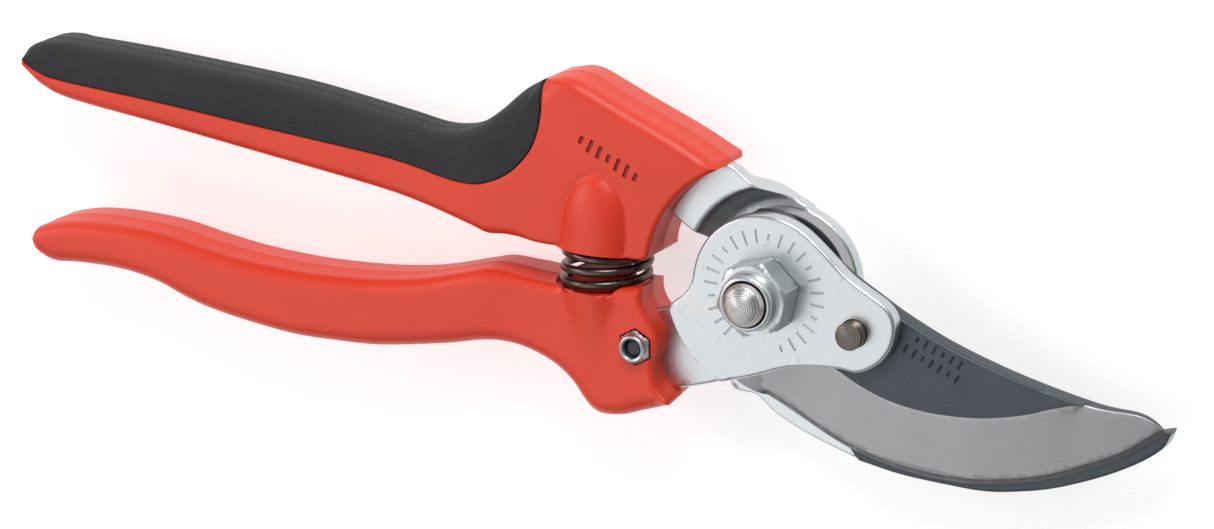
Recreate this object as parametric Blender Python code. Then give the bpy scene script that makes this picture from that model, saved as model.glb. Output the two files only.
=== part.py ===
"""Bypass pruning shears, 230 mm long, closed, lying on the head of the pivot bolt.

+X points to the blade tips, +Y to the upper handle and +Z along the pivot bolt to its nut.
The origin is on the pivot axis, on the flat face of the bolt's head. Sizes are in millimetres
until a mesh is made, and metres in the meshes.
"""

import math

import bmesh
import bpy
from mathutils import Vector, geometry

MM = 0.001
GAP = 0.3

# Driving dimensions
CUT_Z = 11.5              # plane between the cutting blade and the counter-blade
LAYER_GAP = 0.15          # between stacked flat faces
PLATE_T = 3.0             # zinc-plated stampings
BLADE_T = 3.5             # cutting blade and counter-blade
HUB_R = 13.3              # round hubs of both blades and of the rear plate
FRONT_HUB_R = 14.0
HANDLE_HALF = 7.2         # half the handles' thickness, about the cut plane
HANDLE_EDGE = 3.0         # rounding of the handles' long edges
RIB_HALF = 3.0            # half the thickness of the rib that the soft grip is moulded over
SEAM_EDGE = 0.3           # the two handle materials meet almost flush
CLEAR_R = 22.9            # the upper handle's front end is an arc about the pivot
BOLT_R = 3.9              # pivot bolt
HEAD_T = 4.45
HEAD_FLATS = 13.0
NUT_H = 8.0
NUT_FLATS = 12.3
NUT_COLLAR = 5.1
BOLT_PROUD = 2.5
SPRING_X = -33.6          # the spring's axis runs along Y at this X
SPRING_R = 8.3            # outer radius
WIRE_R = 0.75
SPRING_TOP = 7.2
SPRING_FOOT = -8.7
SPRING_TURNS = 6.0
PIN_R = 2.5
BLADE_PIN_AT = (17.5, -3.4)
COUNTER_PIN_AT = (11.0, -20.0)
SCREW_AT = (-23.4, -15.4)
SCREW_R = 1.5             # M3 screw through the lower handle
SMALL_NUT_H = 4.0
SMALL_NUT_FLATS = 5.5
SMALL_COLLAR = 2.6

# Stack of flat layers, from the rear
BLADE_Z = CUT_Z + 0.1
COUNTER_Z = CUT_Z - 0.1 - BLADE_T
FRONT_Z = BLADE_Z + BLADE_T + LAYER_GAP
REAR_Z = COUNTER_Z - LAYER_GAP - PLATE_T
TANG_Z = CUT_Z - PLATE_T / 2
NUT_Z = FRONT_Z + PLATE_T + LAYER_GAP
HANDLE_LOW = CUT_Z - HANDLE_HALF
HANDLE_TOP = CUT_Z + HANDLE_HALF
SMALL_NUT_Z = CUT_Z + 4.9

RED = (0.72, 0.06, 0.03)
BLACK = (0.02, 0.022, 0.025)
ZINC = (0.62, 0.65, 0.66)
DARK_STEEL = (0.07, 0.08, 0.09)
BRONZE = (0.09, 0.06, 0.05)
NYLON = (0.55, 0.6, 0.65)


# ---------------------------------------------------------------- outlines

def arc(radius, start, end, step=8.0, centre=(0.0, 0.0)):
    """Points on a circle from one angle to another, in degrees."""
    count = max(2, int(abs(end - start) / step))
    angles = [math.radians(start + (end - start) * i / count) for i in range(count + 1)]
    return [(centre[0] + radius * math.cos(a), centre[1] + radius * math.sin(a)) for a in angles]


def smooth(points, spacing=3.0):
    """A Catmull-Rom curve through the points, ends included."""
    pts = [Vector(p) for p in points]
    ends = [pts[0] * 2 - pts[1]] + pts + [pts[-1] * 2 - pts[-2]]
    out = []
    for a, b, c, d in zip(ends, ends[1:], ends[2:], ends[3:]):
        count = max(1, round((c - b).length / spacing))
        for i in range(count):
            t = i / count
            out.append(tuple(0.5 * (2 * b + (c - a) * t + (2 * a - 5 * b + 4 * c - d) * t ** 2
                                    + (3 * b - a - 3 * c + d) * t ** 3)))
    out.append(tuple(pts[-1]))
    return out


def join(*runs):
    """One closed outline from runs laid end to end, without doubled points."""
    out = []
    for x, y in (p for run in runs for p in run):
        if not out or math.dist(out[-1], (x, y)) > 0.05:
            out.append((x, y))
    if math.dist(out[0], out[-1]) < 0.05:
        out.pop()
    return out


def area(outline):
    pairs = zip(outline, outline[1:] + outline[:1])
    return sum(a[0] * b[1] - b[0] * a[1] for a, b in pairs) / 2


def grow(outline, distance):
    """The outline moved outwards, square to each of its sides."""
    side = 1 if area(outline) > 0 else -1
    out = []
    for i, point in enumerate(outline):
        before = (Vector(point) - Vector(outline[i - 1])).normalized()
        after = (Vector(outline[(i + 1) % len(outline)]) - Vector(point)).normalized()
        normal = Vector((before.y + after.y, -before.x - after.x)) * side
        normal.normalize()
        square = Vector((after.y, -after.x)) * side
        out.append(tuple(Vector(point) + normal * distance / max(0.4, normal.dot(square))))
    return out


def grow_line(line, distance):
    """An open line moved to its left."""
    out = []
    for i, point in enumerate(line):
        along = Vector(line[min(i + 1, len(line) - 1)]) - Vector(line[max(i - 1, 0)])
        along.normalize()
        out.append(tuple(Vector(point) + Vector((-along.y, along.x)) * distance))
    return out


def inside(point, outline):
    x, y = point
    hit = False
    for (ax, ay), (bx, by) in zip(outline, outline[1:] + outline[:1]):
        if (ay > y) != (by > y) and x < (bx - ax) * (y - ay) / (by - ay) + ax:
            hit = not hit
    return hit


def distance_to(point, line):
    """Distance from a point to an open line."""
    p = Vector(point)
    best = 1e9
    for a, b in zip(line, line[1:]):
        a, b = Vector(a), Vector(b)
        t = max(0.0, min(1.0, (p - a).dot(b - a) / (b - a).length_squared))
        best = min(best, (p - a.lerp(b, t)).length)
    return best


# ---------------------------------------------------------------- solids

def material(name, colour, roughness, metallic):
    found = bpy.data.materials.get(name)
    if found:
        return found
    made = bpy.data.materials.new(name)
    made.use_nodes = True
    shader = made.node_tree.nodes["Principled BSDF"]
    shader.inputs["Base Color"].default_value = (*colour, 1)
    shader.inputs["Roughness"].default_value = roughness
    shader.inputs["Metallic"].default_value = metallic
    return made


def add(name, bm, mat, location=(0, 0, 0), rotation=(0, 0, 0), smooth_below=None):
    """Turns millimetres into metres and links the object."""
    bmesh.ops.scale(bm, vec=(MM, MM, MM), verts=bm.verts)
    bmesh.ops.recalc_face_normals(bm, faces=bm.faces)
    if bm.calc_volume(signed=True) < 0:
        bmesh.ops.reverse_faces(bm, faces=bm.faces)
    mesh = bpy.data.meshes.new(name)
    bm.to_mesh(mesh)
    bm.free()
    if smooth_below:
        mesh.shade_smooth()
        mesh.set_sharp_from_angle(angle=math.radians(smooth_below))
    obj = bpy.data.objects.new(name, mesh)
    obj.location = [c * MM for c in location]
    obj.rotation_euler = rotation
    mesh.materials.append(mat)
    bpy.context.scene.collection.objects.link(obj)
    return obj


def triangles(outline, holes=(), lines=(), loose=()):
    """Points and triangles that fill an outline."""
    points, edges = [Vector(p) for p in loose], []
    for run, closed in [(outline, 1)] + [(h, 1) for h in holes] + [(r, 0) for r in lines]:
        first = len(points)
        points += [Vector(p) for p in run]
        edges += [(first + i, first + i + 1) for i in range(len(run) - 1)]
        if closed:
            edges.append((first + len(run) - 1, first))
    verts, _, faces, *_ = geometry.delaunay_2d_cdt(points, edges, [], 0, 1e-4)
    kept = []
    for face in faces:
        middle = sum((verts[i] for i in face), Vector((0, 0))) / len(face)
        if inside(middle, outline) and not any(inside(middle, hole) for hole in holes):
            kept.append(face)
    return verts, kept


def slab(outline, low, high, holes=(), lines=(), loose=()):
    """A plate between two heights, each a number or a function of x and y.

    lines are open runs where the plate bends, so that its faces break there, and loose
    points are added to shape a curved face.
    """
    low_at = low if callable(low) else lambda x, y: low
    high_at = high if callable(high) else lambda x, y: high
    verts, kept = triangles(outline, holes, lines, loose)
    bm = bmesh.new()
    used = sorted({i for face in kept for i in face})
    lower = {i: bm.verts.new((*verts[i], low_at(*verts[i]))) for i in used}
    upper = {i: bm.verts.new((*verts[i], high_at(*verts[i]))) for i in used}
    sides = {}
    for face in kept:
        bm.faces.new([upper[i] for i in face])
        bm.faces.new([lower[i] for i in reversed(face)])
        for a, b in zip(face, face[1:] + face[:1]):
            sides[(a, b)] = (b, a) not in sides
            if not sides[(a, b)]:
                sides[(b, a)] = False
    for (a, b), open_side in sides.items():
        if open_side:
            bm.faces.new([lower[a], lower[b], upper[b], upper[a]])
    return bm


def moulded(outline, low, high, sharp=()):
    """A thick outline with rounded long edges, and nearly square ones along a sharp line."""
    if area(outline) < 0:
        outline = outline[::-1]
    on_seam = [bool(sharp) and distance_to(point, sharp) < 0.6 for point in outline]
    sides = {HANDLE_EDGE: [], SEAM_EDGE: []}
    for i, point in enumerate(outline):
        size = SEAM_EDGE if on_seam[i] and on_seam[i - 1] else HANDLE_EDGE
        sides[size].append([outline[i - 1], point])

    def fall(point):
        most = 0.0
        for size, runs in sides.items():
            near = min([distance_to(point, run) for run in runs] or [size])
            reach = 1 - min(1.0, near / size)
            most = max(most, size * (1 - math.sqrt(1 - reach * reach)))
        return most

    loose = []
    for share in (0.13, 0.5, 1.0):
        for point in grow(outline, -share * HANDLE_EDGE):
            near = min(distance_to(point, run) for runs in sides.values() for run in runs)
            if near > 0.9 * share * HANDLE_EDGE and inside(point, outline):
                loose.append(point)
    for point, seam in zip(grow(outline, -SEAM_EDGE), on_seam):
        if seam and inside(point, outline):
            loose.append(point)
    return slab(outline, lambda x, y: low + fall((x, y)), lambda x, y: high - fall((x, y)),
                loose=loose)


def corner(angle, flats):
    """Radius of a hexagon with these flats, at an angle."""
    return flats / 2 / math.cos((angle + math.pi / 6) % (math.pi / 3) - math.pi / 6)


def turned(rings, sides=36):
    """A lathe shape about Z. Each ring is (z, radius) or (z, flats, "hex").

    A radius of 0 at both ends closes the shape on its axis, and otherwise the last ring
    joins the first, which leaves a bore.
    """
    bm = bmesh.new()
    loops = []
    for z, size, *shape in rings:
        if size == 0:
            loops.append([bm.verts.new((0, 0, z))])
            continue
        loop = []
        for i in range(sides):
            angle = 2 * math.pi * i / sides
            radius = corner(angle, size) if shape else size
            loop.append(bm.verts.new((radius * math.cos(angle), radius * math.sin(angle), z)))
        loops.append(loop)
    pairs = list(zip(loops, loops[1:]))
    if len(loops[0]) > 1:
        pairs.append((loops[-1], loops[0]))
    for a, b in pairs:
        for i in range(sides):
            j = (i + 1) % sides
            if len(a) == 1:
                bm.faces.new([a[0], b[j], b[i]])
            elif len(b) == 1:
                bm.faces.new([a[i], a[j], b[0]])
            else:
                bm.faces.new([a[i], a[j], b[j], b[i]])
    return bm


def tube(path, radius, sides=8):
    """A round wire along a path, with flat ends."""
    bm = bmesh.new()
    pts = [Vector(p) for p in path]
    rings = []
    for i, p in enumerate(pts):
        along = (pts[min(i + 1, len(pts) - 1)] - pts[max(i - 1, 0)]).normalized()
        out = Vector((p.x - SPRING_X, 0, p.z - CUT_Z)).normalized()
        out = (out - along * out.dot(along)).normalized()
        other = along.cross(out)
        ring = []
        for k in range(sides):
            a = 2 * math.pi * k / sides
            ring.append(bm.verts.new(p + (out * math.cos(a) + other * math.sin(a)) * radius))
        rings.append(ring)
    for a, b in zip(rings, rings[1:]):
        for k in range(sides):
            m = (k + 1) % sides
            bm.faces.new([a[k], a[m], b[m], b[k]])
    bm.faces.new(rings[-1])
    bm.faces.new(rings[0][::-1])
    return bm


def boolean(obj, tool, operation):
    """Adds or takes away a hidden tool object."""
    tool.hide_render = True
    tool.display_type = "WIRE"
    change = obj.modifiers.new(tool.name, "BOOLEAN")
    change.operation = operation
    change.solver = "EXACT"
    change.object = tool


# ---------------------------------------------------------------- shared outlines

# The front plate's tang enters the lower handle. It steps down to the cut plane in a band
# between two arcs about the pivot. The rear plate's tang does the same in the upper handle.
TANG_TOP_EDGE = [(-14.5, -2.0), (-15.7, -4.0), (-17.0, -5.4), (-18.3, -7.0), (-20.4, -8.6),
                 (-24.3, -10.4), (-33.0, -14.2)]
TANG_END = [(-36.0, -18.5), (-33.5, -22.6), (-28.0, -24.8)]
TANG_FOOT_EDGE = [(-22.0, -24.8), (-17.6, -23.6), (-10.0, -20.6), (-7.2, -18.6), (-0.3, -15.6)]
ARM = [(5.2, -12.9), (10.0, -11.5), (15.2, -10.6), (18.6, -10.5), (21.2, -9.2), (23.4, -7.0),
       (24.8, -4.0), (25.0, -0.8), (24.2, 1.4), (22.2, 3.1), (18.6, 4.7), (15.1, 6.4),
       (11.3, 9.2)]
FRONT_OUTLINE = join(arc(FRONT_HUB_R, 54, 184), smooth(TANG_TOP_EDGE), TANG_END,
                     smooth(TANG_FOOT_EDGE + ARM + [(8.6, 11.1)]))

REAR_TANG_TOP = [(2.4, 13.6), (-0.6, 14.7), (-3.6, 15.8), (-6.2, 17.0), (-8.6, 18.4),
                 (-11.2, 19.7), (-18.0, 20.2), (-26.0, 21.3), (-33.0, 20.6)]
REAR_TANG_FOOT = [(-36.0, 17.0), (-33.0, 13.6), (-26.0, 10.6), (-19.0, 7.2), (-16.6, 5.9),
                  (-15.2, 4.4), (-14.2, 2.2)]
REAR_FOOT = [(-12.9, -5.0), (-12.7, -9.0), (-11.0, -14.5), (-9.5, -19.0), (-9.0, -22.4),
             (-7.4, -23.0), (-3.9, -23.0), (0.4, -25.6), (7.3, -28.0), (16.5, -30.1)]
REAR_ARM_END = [(18.6, -29.0), (19.6, -25.5), (18.5, -19.5), (16.6, -13.0), (14.4, -7.5)]
REAR_OUTLINE = join(smooth(REAR_TANG_TOP), smooth(REAR_TANG_FOOT), arc(HUB_R, 178, 201),
                    smooth(REAR_FOOT), smooth(REAR_ARM_END), arc(HUB_R, -22, 78))

EDGE = smooth([(0.0, -20.8), (4.0, -22.2), (9.0, -24.2), (13.5, -25.9), (18.7, -27.3),
               (26.0, -28.3), (34.2, -28.3), (42.2, -27.2), (52.5, -24.0), (60.0, -20.2),
               (67.0, -15.9), (73.7, -10.0)])
SPINE = smooth([(73.7, -10.0), (72.0, -8.6), (68.6, -7.5), (61.0, -7.6), (47.3, -5.9),
                (34.7, -3.2), (25.2, 0.0), (19.6, 2.5), (13.7, 5.3), (8.6, 8.7), (4.0, 11.6),
                (-1.0, 13.4), (-5.2, 12.8)])
BLADE_OUTLINE = join(EDGE, SPINE, arc(HUB_R, 112, 232),
                     smooth([(-8.2, -10.6), (-7.0, -14.5), (-6.2, -17.5), (-5.6, -19.0),
                             (-3.0, -20.1), (0.0, -20.8)]))
BEVEL_W = 13.0            # width of the ground bevel, from the cutting edge
EDGE_T = 0.4              # thickness left at the cutting edge

HOOK_OUTER = smooth([(-0.5, -13.8), (3.0, -16.2), (7.0, -19.8), (11.0, -22.9), (14.4, -25.2)])
HOOK_STEP = [(18.3, -28.9)]
HOOK_BACK = smooth([(18.3, -28.9), (26.0, -29.5), (34.2, -29.3), (42.3, -28.7), (49.1, -27.0),
                    (55.2, -24.8), (62.7, -21.0), (68.5, -17.3), (72.2, -14.2), (73.7, -12.2),
                    (74.3, -9.8)])
HOOK_INNER = smooth([(74.3, -9.8), (72.6, -10.4), (68.0, -12.6), (60.0, -15.8), (52.0, -18.6),
                     (44.0, -20.4), (36.0, -21.2), (28.0, -20.8), (21.0, -18.4), (16.4, -13.5),
                     (13.4, -7.0)])
HOOK_OUTLINE = join(HOOK_OUTER, HOOK_STEP, HOOK_BACK, HOOK_INNER, arc(HUB_R, -20, 268))

# Upper handle, from its front corner round the hand side, the butt and the back
FRONT_ARC = arc(CLEAR_R, 120.5, 176, 5)
UPPER_FOOT = smooth([(-23.2, 0.9), (-33.6, 0.1), (-43.0, -0.8), (-51.0, -1.0), (-55.2, -1.6),
                     (-58.5, -0.9), (-68.0, 0.9), (-78.0, 2.0), (-102.0, 3.1), (-125.0, 4.1),
                     (-144.0, 4.8), (-150.5, 6.2), (-154.6, 8.6)], 5)
UPPER_BUTT = smooth([(-154.6, 8.6), (-155.6, 10.6), (-154.6, 12.8), (-152.0, 14.2),
                     (-148.0, 14.9)], 1.5)
GRIP_BACK = smooth([(-148.0, 14.9), (-132.0, 15.7), (-109.0, 16.2), (-97.0, 16.2),
                    (-86.0, 15.6), (-76.0, 14.9), (-69.6, 14.4), (-65.5, 14.9), (-62.0, 16.1),
                    (-58.2, 18.6), (-54.9, 21.7), (-51.9, 25.0), (-49.8, 26.8), (-46.9, 28.7)], 5)
HUMP = smooth([(-46.9, 28.7), (-43.1, 30.1), (-40.2, 30.2), (-37.1, 29.3), (-29.9, 26.9),
               (-19.8, 23.7), (-12.0, 20.7)])
SEAM = smooth([(-46.9, 28.7), (-46.3, 26.0), (-46.1, 23.3), (-46.3, 20.1), (-47.2, 16.6),
               (-49.0, 13.5), (-51.7, 10.5), (-55.0, 8.4), (-58.0, 7.3), (-61.5, 7.0), (-65.6, 7.3),
               (-70.8, 8.0), (-79.0, 8.5), (-101.6, 8.5), (-124.6, 8.6), (-145.8, 8.4),
               (-151.0, 9.0), (-155.6, 10.6)], 5)
RIB = [(-146.0, 6.5), (-146.0, 11.0), (-132.0, 12.2), (-97.0, 12.6), (-70.0, 11.0),
       (-62.0, 12.4), (-56.5, 17.0), (-51.0, 22.4), (-44.0, 23.0), (-44.0, 12.0), (-55.0, 5.0),
       (-72.0, 5.5), (-110.0, 6.0)]

# Lower handle
LOWER_TOP = smooth([(-23.4, -4.6), (-27.0, -5.3), (-31.0, -6.2), (-36.0, -7.2), (-40.0, -7.8),
                    (-46.0, -8.1), (-54.0, -8.2), (-58.6, -9.6),
                    (-66.8, -12.7), (-74.0, -14.7), (-83.3, -16.4), (-94.6, -17.7),
                    (-106.0, -18.1), (-115.0, -17.7), (-124.0, -17.0), (-133.4, -17.4),
                    (-140.6, -18.3), (-146.0, -19.7), (-150.4, -21.8), (-151.7, -24.2)], 5)
LOWER_FOOT = smooth([(-151.7, -24.2), (-151.0, -26.2), (-148.6, -27.4), (-146.0, -27.8),
                     (-141.4, -27.0), (-134.8, -26.3), (-128.8, -26.2), (-122.8, -26.9),
                     (-116.8, -28.5), (-110.8, -29.5), (-102.0, -30.1), (-93.3, -30.2),
                     (-84.8, -29.4), (-75.7, -28.1), (-62.9, -24.8), (-55.4, -22.4),
                     (-51.4, -21.6), (-46.8, -21.5), (-42.7, -22.2), (-39.0, -23.5),
                     (-35.8, -25.6), (-33.6, -27.9), (-31.4, -29.5), (-28.9, -30.1),
                     (-25.4, -29.4), (-22.1, -27.9), (-19.2, -26.6), (-17.2, -25.6)], 4)
LOWER_FRONT = smooth([(-16.6, -24.6), (-17.0, -23.8), (-18.5, -22.8), (-19.6, -21.2),
                      (-20.1, -18.4), (-19.7, -15.4), (-19.8, -13.0), (-20.8, -11.3),
                      (-22.2, -9.4), (-23.1, -7.0), (-23.4, -4.6)], 2)


# ---------------------------------------------------------------- nodes

def step_height(x, y, start, end, rise):
    """How far a tang has stepped at a point: nothing inside the start arc, all past the end."""
    r = math.hypot(x, y)
    return rise * max(0.0, min(1.0, (r - start) / (end - start)))


def blade_plate():
    drop = FRONT_Z - TANG_Z

    def height(x, y, base, start, end):
        share = max(0.0, min(1.0, (-6.5 - x) / 1.5)) if y < 0 else 0.0
        return base - step_height(x, y, start, end, drop) * share

    # The outer face bends a little further out than the inner one, so the metal keeps its gauge.
    bends = [arc(r, 188, 256, 6) for r in (17.2, 18.9, 19.9, 21.6)]
    bm = slab(FRONT_OUTLINE, lambda x, y: height(x, y, FRONT_Z, 17.2, 19.9),
              lambda x, y: height(x, y, FRONT_Z + PLATE_T, 18.9, 21.6),
              holes=[arc(BOLT_R + GAP, 0, 360, 15)[:-1],
                     arc(PIN_R + GAP, 0, 360, 24, BLADE_PIN_AT)[:-1],
                     arc(SCREW_R + GAP, 0, 360, 24, SCREW_AT)[:-1]],
              lines=bends)
    return add("blade_plate", bm, material("zinc", ZINC, 0.35, 1.0))


def counter_plate():
    rise = TANG_Z - REAR_Z

    def height(x, y, base, start, end):
        return base + (step_height(x, y, start, end, rise) if x < 2 and y > 0 else 0)

    bends = [arc(r, 100, 166, 6) for r in (14.2, 16.2, 18.2, 20.2)]
    bm = slab(REAR_OUTLINE, lambda x, y: height(x, y, REAR_Z, 16.2, 20.2),
              lambda x, y: height(x, y, REAR_Z + PLATE_T, 14.2, 18.2),
              holes=[arc(BOLT_R + GAP, 0, 360, 15)[:-1],
                     arc(PIN_R + GAP, 0, 360, 24, COUNTER_PIN_AT)[:-1]],
              lines=bends)
    return add("counter_plate", bm, material("zinc", ZINC, 0.35, 1.0))


def cutting_blade():
    def top(x, y):
        slope = (BLADE_T - EDGE_T) / BEVEL_W
        return BLADE_Z + min(BLADE_T, EDGE_T + slope * distance_to((x, y), EDGE))

    bevel = [p for p in grow_line(EDGE, BEVEL_W) if inside(p, BLADE_OUTLINE)]
    bm = slab(BLADE_OUTLINE, BLADE_Z, top,
              holes=[arc(BOLT_R + GAP, 0, 360, 15)[:-1],
                     arc(PIN_R + GAP, 0, 360, 24, BLADE_PIN_AT)[:-1]],
              lines=[bevel])
    return add("cutting_blade", bm, material("dark_steel", DARK_STEEL, 0.4, 0.9))


def counter_blade():
    bm = slab(HOOK_OUTLINE, COUNTER_Z, COUNTER_Z + BLADE_T,
              holes=[arc(BOLT_R + GAP, 0, 360, 15)[:-1],
                     arc(PIN_R + GAP, 0, 360, 24, COUNTER_PIN_AT)[:-1]])
    return add("counter_blade", bm, material("dark_steel", DARK_STEEL, 0.4, 0.9))


def pin(name, centre, foot, top, radius):
    bm = turned([(foot, 0), (foot, radius - 0.3), (foot + 0.3, radius), (top - 0.3, radius),
                 (top, radius - 0.3), (top, 0)], 20)
    return add(name, bm, material("pin_steel", BRONZE, 0.4, 0.9), (*centre, 0), smooth_below=40)


def pivot_bolt():
    top = NUT_Z + NUT_H + BOLT_PROUD
    bm = turned([(0, 0), (0, HEAD_FLATS - 0.8, "hex"), (0.5, HEAD_FLATS, "hex"),
                 (HEAD_T, HEAD_FLATS, "hex"),
                 (HEAD_T, BOLT_R), (top - 1.2, BOLT_R), (top - 0.4, 2.8), (top, 1.2), (top, 0)])
    return add("pivot_bolt", bm, material("zinc", ZINC, 0.35, 1.0), smooth_below=30)


def lock_nut(name, centre, foot, height, flats, collar, bore, sides=36):
    """A lock nut: hexagon, chamfer, round collar and a seat for its nylon ring."""
    hexagon = height * 0.66
    seat = height * 0.72
    ring = bore + (collar - bore) * 0.55
    bm = turned([(foot, bore), (foot, flats * 0.94, "hex"), (foot + 0.4, flats, "hex"),
                 (foot + hexagon, flats, "hex"), (foot + hexagon + 0.6, collar + 0.35),
                 (foot + hexagon + 0.9, collar), (foot + height - 0.4, collar),
                 (foot + height, collar - 0.4), (foot + height, ring),
                 (foot + seat, ring), (foot + seat, bore)], sides)
    return add(name, bm, material("zinc", ZINC, 0.3, 1.0), (*centre, 0), smooth_below=30)


def nylon_ring(name, centre, foot, height, collar, bore, sides=36):
    seat = height * 0.72
    ring = bore + (collar - bore) * 0.55
    bm = turned([(foot + seat + 0.1, bore), (foot + seat + 0.1, ring - 0.1),
                 (foot + height - 0.2, ring - 0.1), (foot + height - 0.2, bore)], sides)
    return add(name, bm, material("nylon", NYLON, 0.4, 0.0), (*centre, 0), smooth_below=30)


def return_spring():
    radius = SPRING_R - WIRE_R
    count = int(SPRING_TURNS * 18)
    path = []
    for i in range(count + 1):
        turn = 2 * math.pi * SPRING_TURNS * i / count
        share = i / count
        eased = share + 0.055 * math.sin(2 * math.pi * share)
        y = SPRING_TOP + (SPRING_FOOT - SPRING_TOP) * eased
        path.append((SPRING_X + radius * math.cos(turn), y, CUT_Z + radius * math.sin(turn)))
    return add("return_spring", tube(path, WIRE_R), material("bronze", BRONZE, 0.3, 1.0),
               smooth_below=50)


def bulge(name, profile, mat):
    """A turned swelling on a handle, round the spring's axis."""
    bm = turned([(profile[0][0], 0)] + profile + [(profile[-1][0], 0)], 32)
    return add(name, bm, mat, (SPRING_X, 0, CUT_Z), (-math.pi / 2, 0, 0))


def tool(name, bm, location=(0, 0, 0), rotation=(0, 0, 0)):
    return add(name, bm, material("tool", (1, 1, 1), 0.5, 0.0), location, rotation)


def tang_slot(name, outline, low):
    """The room that a handle leaves for a plate's tang."""
    return tool(name, slab(grow(outline, GAP), low - GAP, low + PLATE_T + GAP))


def upper_handle():
    red = material("red_nylon", RED, 0.4, 0.0)
    outline = join(FRONT_ARC, UPPER_FOOT, UPPER_BUTT[:2], SEAM[::-1], HUMP)
    handle = add("upper_handle", moulded(outline, HANDLE_LOW, HANDLE_TOP, sharp=SEAM), red,
                 smooth_below=40)
    boolean(handle, bulge("upper_bulge", [(-0.4, 9.3), (0.2, 9.6), (4.0, 9.5), (8.0, 9.0),
                                          (11.0, 8.0), (14.0, 6.4)], red), "UNION")
    boolean(handle, tool("upper_rib", slab(RIB, CUT_Z - RIB_HALF, CUT_Z + RIB_HALF)), "UNION")
    boolean(handle, tool("upper_socket", turned([(-2.0, 0), (-2.0, SPRING_R + 0.35),
                                                 (8.4, SPRING_R + 0.35), (8.4, 0)], 32),
                         (SPRING_X, 0, CUT_Z), (-math.pi / 2, 0, 0)), "DIFFERENCE")
    tang = join(REAR_TANG_TOP[4:], REAR_TANG_FOOT[:4])
    boolean(handle, tang_slot("upper_slot", tang, TANG_Z), "DIFFERENCE")
    return handle


def grip_overmould():
    seam = grow_line(SEAM, -GAP)[1:-1]
    outline = join(UPPER_BUTT[1:], GRIP_BACK[:-1], seam)
    grip = add("grip_overmould", moulded(outline, HANDLE_LOW, HANDLE_TOP, sharp=seam),
               material("black_elastomer", BLACK, 0.7, 0.0), smooth_below=40)
    room = RIB_HALF + GAP
    cavity = slab(grow(RIB, GAP), CUT_Z - room, CUT_Z + room)
    boolean(grip, tool("grip_cavity", cavity), "DIFFERENCE")
    return grip


def lower_handle():
    red = material("red_nylon", RED, 0.4, 0.0)
    outline = join(LOWER_TOP, LOWER_FOOT, LOWER_FRONT)
    handle = add("lower_handle", moulded(outline, HANDLE_LOW, HANDLE_TOP), red, smooth_below=40)
    ring = turned([(-9.9, 6.0), (-9.9, 10.5), (0.0, 10.5), (0.0, 6.0)], 32)
    boolean(handle, tool("spring_seat", ring, (SPRING_X, 0, CUT_Z), (-math.pi / 2, 0, 0)),
            "DIFFERENCE")
    tang = join(TANG_TOP_EDGE[3:], TANG_END, TANG_FOOT_EDGE[:3])
    boolean(handle, tang_slot("lower_slot", tang, TANG_Z), "DIFFERENCE")
    hole = SCREW_R + GAP
    boolean(handle, tool("screw_hole", turned([(0, 0), (0, hole), (26, hole), (26, 0)], 24),
                         (*SCREW_AT, 0)), "DIFFERENCE")
    room = SMALL_NUT_FLATS + 2 * GAP
    pocket = turned([(SMALL_NUT_Z - GAP, 0), (SMALL_NUT_Z - GAP, room, "hex"),
                     (30, room, "hex"), (30, 0)], 24)
    boolean(handle, tool("nut_pocket", pocket, (*SCREW_AT, 0)), "DIFFERENCE")
    return handle


def handle_screw():
    head, top = HANDLE_LOW - 0.15, SMALL_NUT_Z + SMALL_NUT_H - 1.0
    bm = turned([(head - 1.8, 0), (head - 1.8, 2.2), (head - 1.0, 3.1), (head, 3.1),
                 (head, SCREW_R), (top - 0.4, SCREW_R), (top, 1.1), (top, 0)], 24)
    return add("handle_screw", bm, material("zinc", ZINC, 0.35, 1.0), (*SCREW_AT, 0),
               smooth_below=30)


def main():
    for obj in list(bpy.data.objects):
        bpy.data.objects.remove(obj)
    upper_handle()
    grip_overmould()
    counter_plate()
    counter_blade()
    pin("counter_pin", COUNTER_PIN_AT, REAR_Z - 1.6, COUNTER_Z + BLADE_T - 0.2, PIN_R)
    pivot_bolt()
    lock_nut("pivot_nut", (0, 0), NUT_Z, NUT_H, NUT_FLATS, NUT_COLLAR, BOLT_R + GAP)
    nylon_ring("pivot_nut_insert", (0, 0), NUT_Z, NUT_H, NUT_COLLAR, BOLT_R + GAP)
    return_spring()
    lower_handle()
    blade_plate()
    cutting_blade()
    pin("blade_pin", BLADE_PIN_AT, BLADE_Z + 0.3, FRONT_Z + PLATE_T + 2.6, PIN_R)
    handle_screw()
    small = (SCREW_AT, SMALL_NUT_Z, SMALL_NUT_H)
    lock_nut("handle_nut", *small, SMALL_NUT_FLATS, SMALL_COLLAR, SCREW_R + 0.2, 24)
    nylon_ring("handle_nut_insert", *small, SMALL_COLLAR, SCREW_R + 0.2, 24)


main()
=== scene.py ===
"""Looks for the 230 mm bypass pruning shears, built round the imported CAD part.

Lengths are in millimetres until a mesh is made. The frame is the CAD's: the pivot bolt's axis
is Z, +X is towards the blade tips, +Y towards the handle with the black grip, and the plane
between the two blades is at z = CUT.
"""

import math

import bmesh
import bpy
import numpy as np
from mathutils import Matrix, Vector, geometry


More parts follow.
